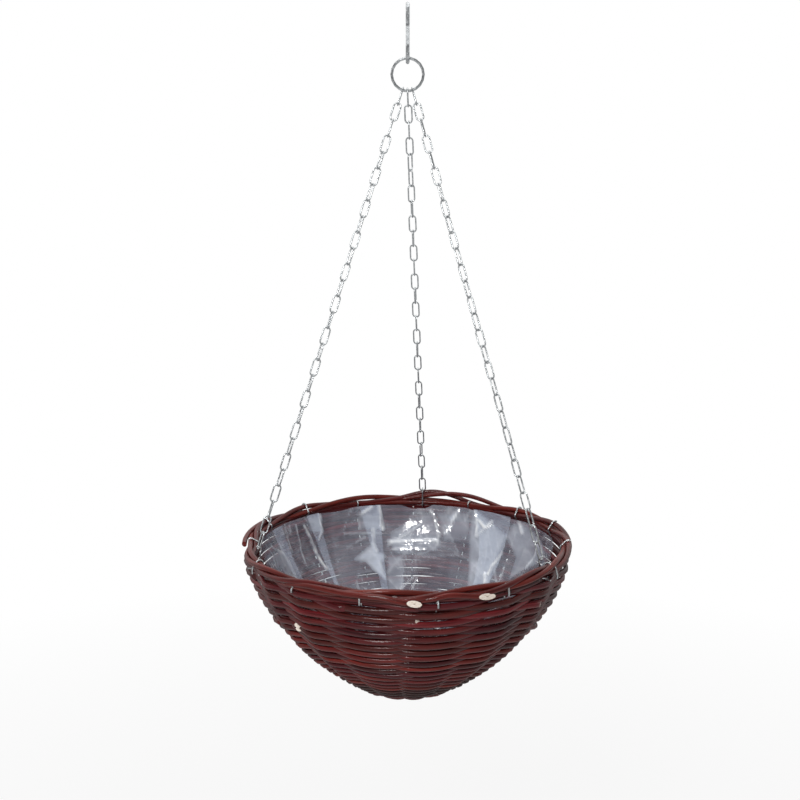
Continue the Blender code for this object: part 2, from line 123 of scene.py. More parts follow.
# How far the swings over and under lie off the ribs, as (degrees, degrees)
wave_lags = (
    (0, -4), (20, 0), (150, 0), (175, 8), (193, 10), (212, 9), (235, 0), (303, 0), (323, -4),
    (345, -6), (360, -4),
)
# Height and depth of a rod's oval section, as shares of its width
rod_tall = 1.2
rod_flat = 0.96
weave_top = -0.009
first_turn = -0.8
rods_seed = 20
rod_sides = 10
points_per_space = 8
rod_lengths = (0.85, 1.35)
least_spaces = 5
# Half widths at a rod's two ends, as shares of the usual one
butt_shares = (0.99, 1.12)
tip_shares = (0.92, 1.0)
# Radius below which rods get slimmer, and the least share of their thickness
slim_radius = 0.12
slim_least = 0.66
# Radius from which a rod's section gets oval, and the way until it fully is
upright_radius = 0.1
upright_way = 0.05
drift_reach = 0.0004
# Lap of two rods as a share of a rib space, and how far their ends step in and out
lap_share = 0.26
lap_fade = 2.4
lap_inward = 0.003
lap_outward = 0.0026
# How far a cut end leans outward and up, and the share of ends that show pale wood
cut_lean = (1.2, -0.2)
cut_chance = 0.5
tone_shares = (0.8, 1.2)
# Buds that a rod swells at
first_bud = 0.03
bud_space = 0.034
bud_length = 0.0022
bud_rise = 0.00018
# Share of the swing near the middle of the base, and its growth with the radius
swing_least = 0.55
swing_growth = 0.6

# Chains
chain_wire = 0.0016
link_length = 0.0162
link_width = 0.0053
touch_pull = 0.00025
link_steps = 12
# Links over which a chain turns from the ring's direction to its own, and its links' play
turn_over_links = 6
link_jitter = 0.2
link_seed = 11
# Links on the basket's body and in each stretch of a chain
chain_groups = {"back": (2, 7, 8, 6, 6), "left": (1, 8, 8, 6, 6), "right": (1, 8, 8, 6, 6)}

border = [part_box(f"border_rod_{number}") for number in (1, 2, 3)]
rim_z = (min(low.z for low, high in border) + max(high.z for low, high in border)) / 2
pivots = {joint["name"]: Vector(joint["pos_m"]) for joint in frame["joints"]}


def turned(radius, angle, height):
    """Turn a radius and a height above the rim's mid plane into a point."""
    return Vector((radius * math.cos(angle), radius * math.sin(angle), rim_z + height))


def smooth_point(points, position):
    """Read a Catmull-Rom curve through the points at a position counted in points."""
    last = len(points) - 1
    index = min(int(position), last - 1)
    share = position - index
    before = points[index - 1] if index else points[0] * 2 - points[1]
    after = points[index + 2] if index + 2 <= last else points[last] * 2 - points[last - 1]
    start, end = points[index], points[index + 1]
    bend = 2 * before - 5 * start + 4 * end - after
    swing = 3 * start - before - 3 * end + after
    return start + ((end - before) * share + bend * share**2 + swing * share**3) / 2


def smoothed(points, steps):
    """Run a smooth curve through the points."""
    count = (len(points) - 1) * steps
    return [smooth_point(points, index / steps) for index in range(count + 1)]


def bowl_outline():
    """Trace the bowl's outer half profile from the rim's mid plane to the base."""
    pairs = zip(bowl_radius_shares, bowl_depth_shares)
    corners = [Vector((bowl_radius * wide, -bowl_depth * deep)) for wide, deep in pairs]
    return smoothed(corners, outline_steps)


outline = bowl_outline()
outline_reach = [0.0]
for start, end in zip(outline, outline[1:]):
    outline_reach.append(outline_reach[-1] + (end - start).length)


def wall_point(distance, depth_in):
    """Give radius and height at a distance down the outline, a depth inside its face."""
    last = len(outline) - 2
    index = 0
    while index < last and outline_reach[index + 1] < distance:
        index += 1
    start, end = outline[index], outline[index + 1]
    run = outline_reach[index + 1] - outline_reach[index]
    place = start.lerp(end, (distance - outline_reach[index]) / run)
    before = outline[max(index - heading_points, 0)]
    after = outline[min(index + 1 + heading_points, last + 1)]
    heading = (after - before).normalized()
    return place + Vector((heading.y, -heading.x)) * depth_in


def leaning(angle, out, up):
    return out * math.cos(angle), out * math.sin(angle), up


def distance_at_height(height, depth_in):
    """Find how far down the outline the inner line passes a height."""
    low, high = 0.0, outline_reach[-1]
    for _ in range(halvings):
        middle = (low + high) / 2
        if wall_point(middle, depth_in).y > height:
            low = middle
        else:
            high = middle
    return low


def at_degrees(table, degrees):
    """Read a table of (degrees, value) at one angle or many."""
    return np.interp(degrees % 360, *zip(*table))


def hill(angle, middle, half_width):
    """Rise from 0 to 1 and back round a middle; all in degrees."""
    away = abs((angle - middle + 180) % 360 - 180) / half_width
    return math.cos(away * math.pi / 2) ** 2 if away < 1 else 0.0


# Materials

noise_roughness = 0.55
# Colours along a noise, as (position, colour)
willow_streaks = ((0.3, (0.5, 0.46, 0.46)), (0.5, (1, 1, 1)), (0.75, (1.5, 1.4, 1.3)))
cut_tones = ((0.3, (0.66, 0.5, 0.38)), (0.44, (0.9, 0.8, 0.7)), (0.7, (0.96, 0.88, 0.8)))
zinc_tones = ((0.3, (0.34, 0.36, 0.37)), (0.5, (0.51, 0.53, 0.54)), (0.7, (0.69, 0.71, 0.72)))
film_tones = ((0.3, (0.51, 0.56, 0.71)), (0.55, (0.61, 0.68, 0.83)), (0.75, (0.72, 0.79, 0.92)))
dull_willow = (0.6, 0.85, 0.95, 1)
pith_colour = (0.26, 0.17, 0.1, 1)
# Colour of the film's milky patches, partly painted reflection
milky_reflection_colour = (0.66, 0.72, 0.84, 1)
# Whiter colour at the film's creases, partly painted highlight
crease_highlight_colour = (0.94, 0.96, 0.98, 1)
# How much less see-through the film is in its milky patches, partly painted reflection, and at its
# creases, partly painted highlight
milky_reflection_cover = 0.34
crease_highlight_cover = 0.6
# How fast and how far the willow's gloss gets duller towards its outline
edge_power = 3.0
edge_dullness = 0.5


def new_material(name):
    made = bpy.data.materials.new(name)
    made.use_nodes = True
    return made, made.node_tree, made.node_tree.nodes["Principled BSDF"]


def add_node(tree, kind, inputs, output, **settings):
    """Add a node, link or set its inputs and give one of its outputs."""
    node = tree.nodes.new(f"ShaderNode{kind}")
    for name, value in settings.items():
        setattr(node, name, value)
    for name, value in inputs.items():
        if isinstance(value, bpy.types.NodeSocket):
            tree.links.new(value, node.inputs[name])
        else:
            node.inputs[name].default_value = value
    return node.outputs[output]


def scaled(tree, vector, scale):
    return add_node(tree, "Mapping", {"Scale": scale, "Vector": vector}, "Vector")


def noise(tree, vector, scale, detail):
    inputs = {"Scale": scale, "Detail": detail, "Roughness": noise_roughness, "Vector": vector}
    return add_node(tree, "TexNoise", inputs, "Fac")


def ramp(tree, factor, stops):
    """Map a factor to colours at positions from 0 to 1."""
    node = tree.nodes.new("ShaderNodeValToRGB")
    elements = node.color_ramp.elements
    while len(elements) < len(stops):
        elements.new(1.0)
    for element, (position, colour) in zip(elements, stops):
        element.position = position
        element.color = (*colour, 1.0)
    tree.links.new(factor, node.inputs["Fac"])
    return node.outputs["Color"]


def spread(tree, factor, low, high, start=0.3, stop=0.7):
    """Stretch a factor from start to stop, the middle of a noise, to a range of values."""
    inputs = {"From Min": start, "From Max": stop, "To Min": low, "To Max": high, "Value": factor}
    return add_node(tree, "MapRange", inputs, "Result")


def combine(tree, operation, first, second):
    """Join two values by a math operation; each is a number or a socket."""
    return add_node(tree, "Math", {0: first, 1: second}, 0, operation=operation)


def blend(tree, kind, factor, first, second):
    """Mix two colours; the factor and the colours are values or sockets."""
    inputs = {0: factor, 6: first, 7: second}
    return add_node(tree, "Mix", inputs, 2, data_type="RGBA", blend_type=kind)


def paint(tree, shader, colour, rough):
    tree.links.new(colour, shader.inputs["Base Color"])
    tree.links.new(rough, shader.inputs["Roughness"])


def bump(tree, height, distance, shader, strength=1.0):
    inputs = {"Distance": distance, "Strength": strength, "Height": height}
    tree.links.new(add_node(tree, "Bump", inputs, "Normal"), shader.inputs["Normal"])


def attribute(tree, name, output):
    return add_node(tree, "Attribute", {}, output, attribute_name=name)


def vector_length(tree, vector):
    return add_node(tree, "VectorMath", {0: vector}, "Value", operation="LENGTH")


def willow_material():
    """Stained willow bark: streaks along the rod, duller patches, pores and a soft gloss."""
    made, tree, shader = new_material("stained_willow")
    grain = attribute(tree, "rod_grain", "Vector")
    tone = attribute(tree, "rod_tone", "Color")
    streak = noise(tree, scaled(tree, grain, (26, 520, 520)), 1.0, 4.0)
    patch = noise(tree, scaled(tree, grain, (22, 60, 60)), 1.0, 2.0)
    pores = noise(tree, scaled(tree, grain, (900, 1500, 1500)), 1.0, 1.0)
    colour = blend(tree, "MULTIPLY", 1.0, tone, ramp(tree, streak, willow_streaks))
    dull = blend(tree, "MULTIPLY", 1.0, colour, dull_willow)
    colour = blend(tree, "MIX", spread(tree, patch, -0.3, 0.6), colour, dull)
    facing = add_node(tree, "LayerWeight", {}, "Facing")
    duller = combine(tree, "MULTIPLY", combine(tree, "POWER", facing, edge_power), edge_dullness)
    paint(tree, shader, colour, combine(tree, "ADD", spread(tree, streak, 0.15, 0.27), duller))
    shader.inputs["Specular IOR Level"].default_value = 0.25
    bump(tree, combine(tree, "ADD", streak, pores), 0.00013, shader)
    return made


def cut_material():
    """Pale cut wood at a rod's end, with a darker pith."""
    made, tree, shader = new_material("cut_willow")
    grain = attribute(tree, "rod_grain", "Vector")
    rings = noise(tree, scaled(tree, grain, (0, 700, 1400)), 1.0, 2.0)
    off_middle = vector_length(tree, scaled(tree, grain, (0, 1, 1)))
    pith = spread(tree, off_middle, 0.75, 0.0, 0.0003, 0.0006)
    colour = blend(tree, "MIX", pith, ramp(tree, rings, cut_tones), pith_colour)
    paint(tree, shader, colour, spread(tree, rings, 0.55, 0.8))
    bump(tree, rings, 0.0002, shader)
    return made


def zinc_material():
    """Galvanised wire: a pale, slightly mottled metal."""
    made, tree, shader = new_material("galvanised_wire")
    place = add_node(tree, "TexCoord", {}, "Object")
    mottle = noise(tree, place, 420.0, 3.0)
    fine = noise(tree, place, 2600.0, 2.0)
    paint(tree, shader, ramp(tree, mottle, zinc_tones), spread(tree, mottle, 0.24, 0.42))
    shader.inputs["Metallic"].default_value = 1.0
    bump(tree, fine, 0.0001, shader)
    return made


def film_material():
    """Clear polythene: see-through, with a strong gloss; whiter at creases, partly as painted
    highlight, and in milky patches, partly as painted reflection.
    """
    made, tree, shader = new_material("clear_film")
    place = add_node(tree, "TexCoord", {}, "Object")
    cloud = noise(tree, place, 24.0, 4.0)
    fine = noise(tree, scaled(tree, place, (70, 70, 26)), 1.0, 3.0)
    crease_breakup = noise(tree, place, 130.0, 2.0)
    streaks = noise(tree, scaled(tree, place, (22, 22, 80)), 1.0, 3.0)
    crease_and_highlight, milky_and_reflection = attribute(tree, "crease_and_highlight", "Fac"), attribute(tree, "milky_and_reflection", "Fac")
    # Whitening at creases, partly painted highlight, broken up by a noise
    crease_and_highlight = combine(tree, "MULTIPLY", crease_and_highlight, spread(tree, crease_breakup, 0.45, 1.1))
    # Milky patches, partly painted reflection, streaked by a noise
    milky_and_reflection = combine(tree, "MULTIPLY", milky_and_reflection, spread(tree, streaks, 0.6, 1.2))
    colour = blend(tree, "MIX", milky_and_reflection, ramp(tree, cloud, film_tones), milky_reflection_colour)
    colour = blend(tree, "MIX", crease_and_highlight, colour, crease_highlight_colour)
    paint(tree, shader, colour, spread(tree, fine, 0.07, 0.18))
    cover = combine(tree, "MULTIPLY", milky_and_reflection, milky_reflection_cover)
    cover = combine(tree, "ADD", spread(tree, cloud, 0.15, 0.3), cover)
    cover = combine(tree, "ADD", cover, combine(tree, "MULTIPLY", crease_and_highlight, crease_highlight_cover))
    tree.links.new(cover, shader.inputs["Alpha"])
    shader.inputs["IOR"].default_value = 1.5
    shader.inputs["Specular IOR Level"].default_value = 1.0
    shader.inputs["Coat Weight"].default_value = 1.0
    shader.inputs["Coat Roughness"].default_value = 0.06
    bump(tree, fine, 0.0009, shader, 0.5)
    return made


willow = willow_material()
cut_wood = cut_material()
zinc = zinc_material()
film = film_material()


# Swept rods and wires

# Length of a leaning cut, in rod radii for a lean of 1
cut_reach = 3
# Shift of the bark's pattern from name to name
grain_shift = 0.0137


def tube_rings(points, radii, sides, cuts, closed, flat, tall):
    """Sweep an oval section along the points. A cut leans an end's face towards a vector."""
    path = np.array(points, float)
    if closed:
        ahead = np.roll(path, -1, axis=0) - np.roll(path, 1, axis=0)
    else:
        ahead = np.gradient(path, axis=0)
    ahead /= np.linalg.norm(ahead, axis=1)[:, None]
    side = np.cross(ahead, (0, 0, 1))
    side /= np.linalg.norm(side, axis=1)[:, None]
    up = np.cross(side, ahead)
    turn = np.linspace(0, math.tau, sides, endpoint=False)
    spokes = (flat * np.cos(turn)[None, :, None] * side[:, None, :]
              + tall * np.sin(turn)[None, :, None] * up[:, None, :])
    wide = np.array(radii)[:, None]
    rings = path[:, None, :] + spokes * wide[:, :, None]
    steps = np.linalg.norm(np.diff(path, axis=0), axis=1)
    along = np.concatenate(([0.0], np.cumsum(steps)))
    for cut, away, way in zip(cuts, (along, along[-1] - along), (1, -1)):
        if cut is not None:
            lean = np.array(cut, float)
            reach = cut_reach * wide.max() * np.linalg.norm(lean)
            share = np.clip(1 - away / reach, 0, 1)[:, None]
            shift = way * (spokes @ lean) * wide * share
            rings += shift[:, :, None] * ahead[:, None, :]
    along = np.repeat(along[:, None], sides, 1)
    grain = np.stack((along, wide * np.cos(turn), wide * np.sin(turn)), axis=2)
    return rings.reshape(-1, 3), grain.reshape(-1, 3)


def ring_faces(rings, sides, closed=False):
    """Join rings of points by four-sided faces."""
    faces = []
    for index in range(rings if closed else rings - 1):
        row, above = index * sides, (index + 1) % rings * sides
        for step in range(sides):
            after = (step + 1) % sides
            faces.append((row + step, above + step, above + after, row + after))
    return faces


def set_points(mesh, name, kind, key, values):
    """Give each point of a mesh a value that its material reads."""
    layer = mesh.attributes.new(name, kind, "POINT")
    layer.data.foreach_set(key, np.array(values, np.float32).ravel())


def rod_piece(name, points, radii, tone, cuts=(None, None), caps=None, closed=False,
              sides=rod_sides, replaced=(), flat=1.0, tall=1.0):
    """Make a rod of stained willow and put it on the basket."""
    verts, grain = tube_rings(points, radii, sides, cuts, closed, flat, tall)
    count = len(points)
    faces = ring_faces(count, sides, closed)
    if not closed:
        faces.append(tuple(range(sides)))
        faces.append(tuple(reversed(range((count - 1) * sides, count * sides))))
    mesh = bpy.data.meshes.new(name)
    mesh.from_pydata(verts.tolist(), [], faces)
    mesh.materials.append(willow)
    mesh.shade_smooth()
    if not closed:
        mesh.materials.append(caps or willow)
        for polygon in mesh.polygons[len(faces) - 2:]:
            polygon.material_index = 1
            polygon.use_smooth = False
    number = sum(ord(letter) * place for place, letter in enumerate(name, 1))
    grain[:, 0] += number * grain_shift
    set_points(mesh, "rod_tone", "FLOAT_COLOR", "color", [(*tone, 1.0)] * len(verts))
    set_points(mesh, "rod_grain", "FLOAT_VECTOR", "vector", grain)
    place_piece(name, mesh, "basket", replaced)


def new_object(name, data):
    made = bpy.data.objects.new(name, data)
    bpy.context.scene.collection.objects.link(made)
    return made


def place_piece(name, data, body, replaced=()):
    piece = new_object(name, data)
    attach(piece, body)
    if replaced:
        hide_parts(*replaced)
    return piece


def wire_curve(name, points, wire, closed=False):
    """Bend a round wire through the points."""
    curve = bpy.data.curves.new(name, "CURVE")
    curve.dimensions = "3D"
    curve.bevel_depth = wire / 2
    curve.bevel_resolution = 2
    curve.use_fill_caps = not closed
    spline = curve.splines.new("POLY")
    spline.points.add(len(points) - 1)
    for point, place in zip(spline.points, points):
        point.co = (*place, 1)
    spline.use_cyclic_u = closed
    spline.use_smooth = True
    curve.materials.append(zinc)
    return curve


# Woven wall

dark_tones = (
    (0.095, 0.012, 0.012), (0.075, 0.01, 0.011), (0.12, 0.014, 0.013), (0.06, 0.009, 0.01),
    (0.085, 0.012, 0.012), (0.05, 0.011, 0.01), (0.145, 0.016, 0.014), (0.07, 0.01, 0.011),
    (0.1, 0.012, 0.012), (0.065, 0.012, 0.012),
)
bands = ("wale_band", "upper_siding", "middle_siding", "lower_siding", "foot_siding", "woven_base")


def rod_radii(count, butt, tip, step, chance):
    """Taper a rod from butt to tip and swell it a little at its buds."""
    bud = chance.uniform(0, first_bud)
    radii = []
    for index in range(count):
        along = step * index
        swell = math.exp(-(((along - bud) % bud_space - bud_space / 2) / bud_length) ** 2)
        radii.append(butt + (tip - butt) * index / (count - 1) + bud_rise * swell)
    return radii


def weave_place(turn, down, inward):
    """Give the middle of a rod at a number of turns down the spiral."""
    if turn < 0:
        distance = weave_start + rod_width / 2 * turn
    else:
        distance = weave_start + turn * row_pitch
    distance += row_shift * math.cos(turn * math.pi) * min(1.0, max(turn, 0.0))
    distance = min(distance + down, outline_reach[-1])
    angle = rib_first + turn * math.tau
    lag = at_degrees(wave_lags, math.degrees(angle)) / 360
    wider = at_degrees(side_swings, math.degrees(angle))
    swing_over = math.cos((turn - lag) * math.pi * rib_count)
    wave = math.tanh(wave_square * swing_over) / math.tanh(wave_square)
    wave *= abs(swing_over) ** (wave_sharp * wider / widest_side_swing)
    narrow = wall_point(distance, rib_depth).x / bowl_radius
    swing = (over_under + wider) * min(1.0, swing_least + swing_growth * narrow)
    swing *= min(1.0, 1.0 + turn)
    inward += wider * side_inward
    pair = wall_point(distance, rib_depth - swing * wave + inward)
    return turned(pair.x, angle, pair.y)


def weave_rods():
    """Lay rods one after the other down the spiral, over and under the ribs."""
    chance = random.Random(rods_seed)
    total = (outline_reach[-1] - weave_start) / row_pitch
    position = first_turn
    number = 0
    while position < total:
        distance = min(weave_start + max(position, 0) * row_pitch, outline_reach[-1])
        radius = wall_point(distance, rib_depth).x
        length = chance.uniform(*rod_lengths)
        spaces = max(least_spaces, round(length / (math.tau * radius) * rib_count))
        finish = (math.floor(position * rib_count) + spaces + 0.5) / rib_count
        last = finish >= total
        finish = min(finish, total)
        lead = lap_share / rib_count
        start = position - (lead if number else 0)
        stop = finish + (0 if last else lead)
        count = max(int((stop - start) * rib_count * points_per_space), 8)
        slim = slim_least + (1 - slim_least) * min(1.0, radius / slim_radius)
        butt = rod_width / 2 * chance.uniform(*butt_shares) * slim
        tip = rod_width / 2 * chance.uniform(*tip_shares) * slim
        drift = [chance.uniform(-drift_reach, drift_reach) for _ in range(spaces + 6)]
        points = []
        radii = rod_radii(count + 1, butt, tip, length / count, chance)
        for index in range(count + 1):
            turn = start + (stop - start) * index / count
            knot = min(max((turn - position) * rib_count + 1, 0.0), spaces + 3)
            low = int(knot)
            down = drift[low] + (drift[low + 1] - drift[low]) * (knot - low)
            entry = max(0.0, 1 - (turn - start) / (lap_fade * lead)) if number else 0.0
            leave = max(0.0, 1 - (stop - turn) / (lap_fade * lead)) if not last else 0.0
            inward = lap_inward * entry - lap_outward * leave
            points.append(weave_place(turn, down * min(1.0, 1.0 + turn), inward * slim))
            radii[index] *= min(1.0, 1.0 + turn)
        number += 1
        angle = rib_first + stop * math.tau
        lean = leaning(angle, *cut_lean)
        tone = [channel * chance.uniform(*tone_shares) for channel in chance.choice(dark_tones)]
        caps = cut_wood if chance.random() < cut_chance else willow
        upright = min(1.0, max(0.0, (radius - upright_radius) / upright_way))
        rod_piece(f"weaver_{number:02d}", points, radii, tone, (None, lean), caps,
                  replaced=bands if number == 1 else (),
                  flat=1 + (rod_flat - 1) * upright, tall=1 + (rod_tall - 1) * upright)
        position = finish


weave_start = distance_at_height(weave_top, rib_depth)
weave_rods()


# Rod over the middle of the base: turns, inner radius, height, waves and half widths
base_turns = 4.2
base_steps = 30
base_gap = 0.0005
base_inner = 0.0042
base_height = 0.004
base_wave = 0.0006
base_wave_step = 1.3
base_halves = (0.002, 0.0017)
base_point_space = 0.004
base_seed = 7


def weave_base():
    """Wind a thinner rod in over the middle of the base."""
    points = []
    outer = bowl_radius * bowl_radius_shares[-1] - base_gap
    for index in range(int(base_turns * base_steps) + 1):
        radius = outer - (outer - base_inner) * (index / (base_turns * base_steps))
        height = base_height - bowl_depth + base_wave * math.sin(index * base_wave_step)
        points.append(turned(radius, rib_first + index / base_steps * math.tau, height))
    radii = rod_radii(len(points), *base_halves, base_point_space, random.Random(base_seed))
    rod_piece("base_weaver", points, radii, dark_tones[1])


weave_base()


# Border rods


def border_pair(angle, strand):
    """Give the radius and the height of a border rod's middle."""
    degrees = math.degrees(angle) % 360
    lag = at_degrees(border_lags, degrees)
    twist = border_turns * math.radians(degrees - lag) + math.tau * strand / 3
    level = at_degrees(border_levels, degrees)
    for lifted, middle, wide, rise in border_lifts:
        if lifted == strand:
            level += rise * hill(degrees, middle, wide)
    for rise, waves, shift in border_waves:
        level += rise * math.sin(waves * angle + shift * strand)
    up = math.sin(twist)
    height = border_rise * (up - border_sag * (1 - up * up)) + level
    radius = border_radius + border_swing * math.cos(twist)
    radius += border_wander * math.sin(5 * angle + strand)
    radius -= border_dent_depth * hill(degrees, *border_dent)
    return Vector((radius, height))


border_tones = ((0.088, 0.011, 0.01), (0.11, 0.013, 0.01), (0.132, 0.016, 0.011))

# Rods that end at the border, as (degrees, radius, height, half thickness)
loose_ends = {
    "border_willow_4": (
        (228, 0.169, -0.004, 0.0026), (236, 0.1705, 0.0002, 0.0027), (243, 0.1716, 0.001, 0.0028),
        (250, 0.1722, 0.0002, 0.0028), (257, 0.1724, -0.0002, 0.0029),
        (262, 0.1725, -0.0007, 0.003), (266, 0.1727, -0.0032, 0.0031),
        (271.8, 0.1732, -0.006, 0.0031),
    ),
    "border_willow_5": (
        (274, 0.169, -0.004, 0.0025), (277.5, 0.1708, -0.0024, 0.0026),
        (282, 0.1718, 0.0001, 0.0027), (286.5, 0.1722, -0.0009, 0.0028),
        (290.5, 0.1727, -0.0028, 0.003), (294.6, 0.1734, -0.0046, 0.0031),
    ),
    "border_willow_6": (
        (138, 0.169, -0.0035, 0.0022), (150, 0.17, -0.0008, 0.0024), (160, 0.1706, 0.0004, 0.0025),
        (170, 0.1708, 0.0004, 0.0026), (178, 0.1706, -0.0004, 0.0026), (184, 0.17, -0.0014, 0.0026),
    ),
    "border_willow_7": (
        (122, 0.1655, -0.006, 0.0022), (110, 0.1634, -0.0044, 0.0024),
        (95, 0.1631, -0.0046, 0.0025), (80, 0.1632, -0.0042, 0.0025), (66, 0.1634, -0.0043, 0.0024),
        (52, 0.1646, -0.0058, 0.0022),
    ),
}
loose_steps = 8
# How far a loose end's cut leans outward and up, as shares of its thickness
end_leans = {"border_willow_4": (2.2, 0.6), "border_willow_5": (3.2, 0.3)}
usual_lean = (0.5, 0.2)
# Loose rods whose ends keep their bark
bark_ends = ("border_willow_6", )
# Thin rods that fill in under the border between the clips, as degrees
under_rods = ((86, 200), (206, 262), (288, 320), (326, 440))
under_radius = 0.1655
under_height = -0.0064
under_wave = 0.0003
under_half = 0.0025


def border_rods():
    """Lay the thin rods under the border, its three twisted rods and the loose ones."""
    for number, (first, last) in enumerate(under_rods, 1):
        path = []
        for degrees in range(first, last + 1, 2):
            angle = math.radians(degrees)
            radius = under_radius - border_dent_depth * hill(degrees, *border_dent)
            path.append(turned(radius, angle, under_height + under_wave * math.sin(9 * angle)))
        halves = [under_half] * len(path)
        rod_piece(f"under_border_{number}", path, halves, dark_tones[number])
    for strand in range(3):
        points, radii = [], []
        for index in range(border_steps):
            angle = math.tau * index / border_steps
            pair = border_pair(angle, strand)
            points.append(turned(pair.x, angle, pair.y))
            swell = border_swell * math.sin(3 * angle + strand)
            radii.append(border_rod / 2 * (1 + swell + border_knots * math.sin(11 * angle)))
        rod_piece(f"border_willow_{strand + 1}", points, radii, border_tones[strand],
                  closed=True, sides=border_sides, replaced=(f"border_rod_{strand + 1}",))
    for name, keys in loose_ends.items():
        path = [turned(radius, math.radians(angle), height) for angle, radius, height, _ in keys]
        thick = smoothed([Vector((half, 0)) for _, _, _, half in keys], loose_steps)
        end = math.radians(keys[-1][0])
        lean = leaning(end, *end_leans.get(name, usual_lean))
        caps = willow if name in bark_ends else cut_wood
        rod_piece(name, smoothed(path, loose_steps), [pair.x for pair in thick], border_tones[1],
                  (None, lean), caps, sides=border_sides)


border_rods()


# Wire frame

# Number of border rods that a rib arches over, from the back on the left round to the right
rib_passes = (1, 2, 3, 3, 3, 2, 1, 1, 1, 1, 2, 3, 3, 3, 1)
# Ribs that end on the border, without a tail
bare_ribs = (3, 4, 11, 12)
# How far before the outline's end a rib starts, and the height at which it leaves the wall
rib_foot = 0.0015
rib_leave = -0.0125
rib_steps = 20
# Shoulder under the arch, off the inner line and the lowest rod
shoulder_out = 0.0022
shoulder_down = 0.0042
# Arch over the rods, in degrees from the outside
arch = (185, -5)
bare_arch = (185, 60)
arch_steps = 12
# Tail outside the border: radii of even and odd ribs, heights of its ends
tail_radii = (0.1729, 0.1712)
tail_top = -0.0066
tail_low = -0.0092
tail_step = 0.0008
tail_lean = 0.0002


def rib_points(index):
    """Trace a rib from the base ring up between the rods and over the border's rods."""
    angle = rib_first + index * rib_space
    top = distance_at_height(rib_leave, rib_depth)
    low = outline_reach[-1] - rib_foot
    pairs = [wall_point(low + (top - low) * step / rib_steps, rib_depth)
             for step in range(rib_steps + 1)]
    rods = sorted((border_pair(angle, strand) for strand in range(3)), key=lambda pair: pair.y)
    rods = rods[:rib_passes[index]]
    clear = border_rod / 2 + touch_gap + rib_wire / 2
    inner = min(pair.x for pair in rods) - clear
    lowest = min(pair.y for pair in rods)
    pairs.append(Vector((inner + shoulder_out, lowest - shoulder_down)))
    start, stop = bare_arch if index in bare_ribs else arch
    for step in range(arch_steps + 1):
        turn = math.radians(start + (stop - start) * step / arch_steps)
        out = Vector((math.cos(turn), math.sin(turn)))
        pairs.append(max(rods, key=out.dot) + out * clear)
    if index not in bare_ribs:
        outer = tail_radii[index % 2]
        pairs.append(Vector((outer, tail_top)))
        pairs.append(Vector((outer - tail_lean, tail_low - tail_step * (index % 3))))
    return [turned(pair.x, angle, pair.y) for pair in pairs]


for number in range(1, rib_count + 1):
    name = f"rib_wire_{number:02d}"
    curve = wire_curve(name, rib_points(number - 1), rib_wire)
    place_piece(name, curve, "basket", (f"frame_rib_{number:02d}",))


# Clear liner

liner_depth = 0.0114
liner_top_depth = 0.0128
liner_top = -0.0052
liner_rows = 120
liner_column = 0.9
# Share of the way up from which the film lies deeper, and steps up the wall and in the middle
liner_bend = 0.75
liner_up_steps = 160
liner_middle_steps = 6
# Folded pleats: where each begins, in degrees, and the share of its width before the fold
liner_pleats = (
    (0, 0.5), (80, 0.54), (120, 0.37), (150, 0.15), (180, 0.4), (225, 0.5), (270, 0.3),
    (310, 0.6),
)
# Share of a pleat's width that gets columns of its own on the fold
liner_fold = 0.23
# Lengths over which a fold comes up and spare film starts to lie in layers
fold_ramp = 0.008
spare_ramp = 0.004
# Radius inside which the creases calm down towards the middle
calm_radius = 0.05
crease_rise = 0.0008
# Waves of the film's edge: rise, waves round the rim, shift
edge_waves = ((0.001, 5, 1), (0.0009, 11, 0), (0.0006, 23, 0))
# How far the edge dips under the clips, the flat part of the dip and its slope in degrees
clip_dip = 0.0062
clip_dip_core = 1.6
clip_dip_slope = 3.5
# Facets that crumple the film: cells round the rim, height, rise, whiteness (partly painted
# highlight on their crease lines) and seed
liner_lattices = ((17, 0.06, 0.0045, 0.5, 3), (44, 0.026, 0.0018, 0.6, 8))
lattice_rows = 80
lattice_wander = 0.35
lattice_edge = 0.1
